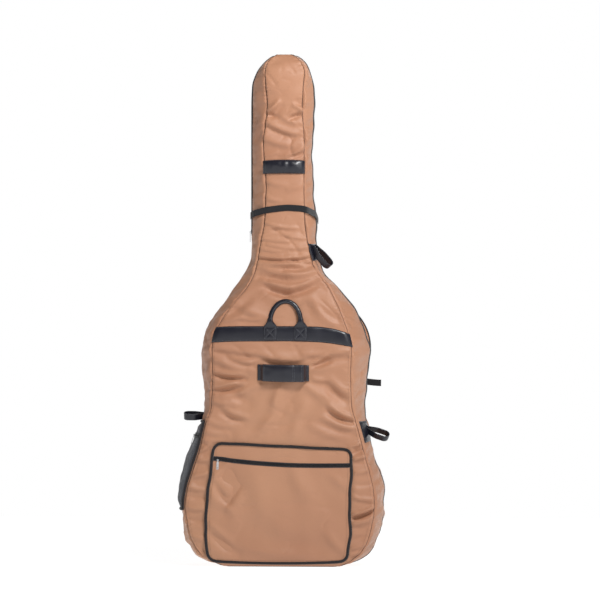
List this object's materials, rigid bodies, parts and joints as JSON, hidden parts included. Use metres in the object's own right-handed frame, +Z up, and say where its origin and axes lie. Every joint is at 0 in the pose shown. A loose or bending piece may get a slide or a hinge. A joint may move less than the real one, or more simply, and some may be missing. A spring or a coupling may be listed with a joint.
{
  "type": "double bass gig bag",
  "caption": "Tall padded zip-open bag for a double bass, with carry handles, loops, shoulder straps, a music pocket and a mesh side pocket.",
  "frame": {"origin": "on the floor, at the middle of the base", "axes": "+Z up, front of the bag towards -Y, +X to the right as seen from the front"},
  "size_m": [0.7929, 0.3323, 1.9],
  "materials": {
    "nylon": "semi-matte woven nylon",
    "foam": "matte foam",
    "lining": "matte",
    "leatherette": "soft grain",
    "webbing": "ribbed webbing",
    "binding": "matte",
    "mesh": "open mesh",
    "zip_tape": "woven tape",
    "zip_coil": "moulded coil",
    "zip_metal": "satin",
    "buckle_plastic": "moulded"
  },
  "bodies": {
    "back": {"back_panel_skin": "nylon", "back_panel_foam": "foam", "back_left_gusset_skin": "nylon", "back_left_gusset_foam": "foam", "back_right_gusset_skin": "nylon", "back_right_gusset_foam": "foam", "back_base_skin": "nylon", "back_base_foam": "foam", "back_lining": "lining", "back_base_patch": "leatherette", "back_zip_tape": "zip_tape", "back_zip_coil": "zip_coil", "left_hinge_strip": "nylon", "shoulder_strap_right": "nylon", "shoulder_strap_left": "nylon", "strap_webbing": "webbing", "webbing_tail": "webbing", "ladder_locks": "buckle_plastic", "strap_anchors": "leatherette"},
    "cover": {"front_panel_skin": "nylon", "front_panel_foam": "foam", "front_left_gusset_skin": "nylon", "front_left_gusset_foam": "foam", "front_right_gusset_skin": "nylon", "front_right_gusset_foam": "foam", "front_base_skin": "nylon", "front_base_foam": "foam", "front_lining": "lining", "front_base_patch": "leatherette", "front_zip_tape": "zip_tape", "front_zip_coil": "zip_coil", "music_pocket_panel": "nylon", "music_pocket_top": "nylon", "music_pocket_piping": "binding", "music_zip_tape": "zip_tape", "music_zip_coil": "zip_coil", "mesh_pocket_panel": "mesh", "mesh_pocket_top": "nylon", "mesh_pocket_binding": "binding", "mesh_zip_tape": "zip_tape", "mesh_zip_coil": "zip_coil", "leather_band": "leatherette", "handle_foot_patches": "leatherette", "grab_handle": "leatherette", "neck_grip_pad": "leatherette", "neck_strap": "webbing", "loop_patches": "leatherette", "bridge_pad": "foam"},
    "main_slider": {"main_slider": "zip_metal"},
    "main_pull": {"main_pull": "zip_metal"},
    "music_slider": {"music_slider": "zip_metal"},
    "music_pull": {"music_pull": "zip_metal"},
    "mesh_slider": {"mesh_slider": "zip_metal"},
    "mesh_pull": {"mesh_pull": "zip_metal"},
    "top_handle": {"top_handle": "leatherette"},
    "upper_loop": {"upper_loop": "leatherette"},
    "left_loop": {"left_loop": "leatherette"},
    "right_loop": {"right_loop": "leatherette"}
  },
  "joints": [
    {"name": "cover_hinge", "type": "hinge", "parent": "back", "child": "cover", "pos_m": [-0.38, 0, 0.275], "axis": [-0.1338, 0, -0.991], "range_deg": [0, 110]},
    {"name": "main_zip_slide", "type": "slide", "parent": "back", "child": "main_slider", "axis": [0, 0, 1], "range_m": [0, 0.4]},
    {"name": "main_pull_swing", "type": "hinge", "parent": "main_slider", "child": "main_pull", "pos_m": [-0.1242, 0, 1.24], "axis": [0, 1, 0], "range_deg": [0, 150]},
    {"name": "music_zip_slide", "type": "slide", "parent": "cover", "child": "music_slider", "axis": [0.9989, 0, -0.0478], "range_m": [0, 0.465]},
    {"name": "music_pull_swing", "type": "hinge", "parent": "music_slider", "child": "music_pull", "pos_m": [-0.23102, -0.1562, 0.39623], "axis": [-0.9989, 0, 0.0478], "range_deg": [0, 150]},
    {"name": "mesh_zip_slide", "type": "slide", "parent": "cover", "child": "mesh_slider", "axis": [0.1792, -0.9838, 0], "range_m": [0, 0.062]},
    {"name": "mesh_pull_swing", "type": "hinge", "parent": "mesh_slider", "child": "mesh_pull", "pos_m": [-0.33039, -0.04274, 0.48525], "axis": [-0.1792, 0.9838, 0], "range_deg": [0, 150]},
    {"name": "top_handle_swing", "type": "hinge", "parent": "cover", "child": "top_handle", "pos_m": [0.022, -0.14668, 0.897], "axis": [1, 0, 0], "range_deg": [0, 100]},
    {"name": "upper_loop_swing", "type": "hinge", "parent": "cover", "child": "upper_loop", "pos_m": [0.14203, -0.05, 1.1653], "axis": [0.7641, 0, 0.6451], "range_deg": [-50, 50]},
    {"name": "left_loop_swing", "type": "hinge", "parent": "cover", "child": "left_loop", "pos_m": [-0.31, -0.04, 0.556], "axis": [0, 0, 1], "range_deg": [-60, 60]},
    {"name": "right_loop_swing", "type": "hinge", "parent": "cover", "child": "right_loop", "pos_m": [0.33316, -0.055, 0.49721], "axis": [0.3419, 0, 0.9397], "range_deg": [-60, 60]}
  ]
}
